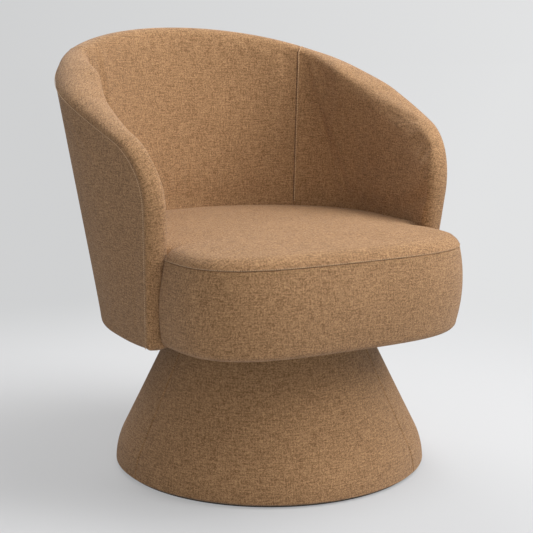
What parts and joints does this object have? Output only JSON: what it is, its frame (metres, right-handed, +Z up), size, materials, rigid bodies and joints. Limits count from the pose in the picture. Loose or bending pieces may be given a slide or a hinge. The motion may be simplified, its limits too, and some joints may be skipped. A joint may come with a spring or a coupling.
{
  "type": "swivel barrel chair",
  "caption": "Upholstered barrel chair: one curved wall makes back and arms round a deep crowned seat that turns on a cloth-covered conical base.",
  "frame": {"origin": "on the floor, on the swivel axis, at the middle of the plinth disc", "axes": "+Z up along the swivel axis, -Y towards the front of the seat, +X towards the arm on the viewer's right when the viewer faces the chair"},
  "size_m": [0.695, 0.7056, 0.7921],
  "materials": {
    "cloth": "camel-brown basket-weave upholstery cloth",
    "foam": "upholstery foam and wadding",
    "plywood": "bent and flat birch plywood",
    "hardboard": "thin hardboard",
    "steel": "zinc-plated steel",
    "webbing": "elastic webbing",
    "black": "matt black board",
    "black_cloth": "thin black non-woven cloth"
  },
  "bodies": {
    "base": {"plinth_disc": "black", "base_bottom_board": "plywood", "base_ribs": "plywood", "base_top_board": "plywood", "base_shell": "hardboard", "base_wadding": "foam", "base_cover_front": "cloth", "base_cover_right": "cloth", "base_cover_rear": "cloth", "swivel_base_plate": "steel", "swivel_lower_race": "steel", "swivel_base_screws": "steel", "swivel_pivot": "steel"},
    "cage": {"swivel_balls": "steel", "swivel_ball_cage": "steel"},
    "seat": {"swivel_upper_race": "steel", "swivel_top_plate": "steel", "swivel_top_bolts": "steel", "swivel_tee_nuts": "steel", "seat_platform": "plywood", "seat_front_rail": "plywood", "seat_back_rail": "plywood", "corner_blocks": "plywood", "seat_webbing_long": "webbing", "seat_webbing_cross": "webbing", "seat_edge_padding": "foam", "seat_foam": "foam", "seat_cover_top": "cloth", "seat_cover_band": "cloth", "dust_cover": "black_cloth", "shell_bottom_rail": "plywood", "shell_top_rail": "plywood", "shell_uprights": "plywood", "arm_posts": "plywood", "shell_bolts": "steel", "shell_inner_board": "hardboard", "shell_outer_board": "hardboard", "shell_foam": "foam", "rim_foam": "foam", "inner_cover_centre": "cloth", "inner_cover_left": "cloth", "inner_cover_right": "cloth", "outside_cover_centre": "cloth", "outside_cover_left": "cloth", "outside_cover_right": "cloth"}
  },
  "joints": [
    {"name": "swivel", "type": "hinge", "parent": "base", "child": "seat", "pos_m": [0, 0, 0.25], "axis": [0, 0, 1], "continuous": true},
    {"name": "ball_cage_turn", "type": "hinge", "parent": "base", "child": "cage", "pos_m": [0, 0, 0.25], "axis": [0, 0, 1], "continuous": true}
  ],
  "couplings": [
    {"joint": "ball_cage_turn", "follows": "swivel", "ratio": 0.5}
  ]
}
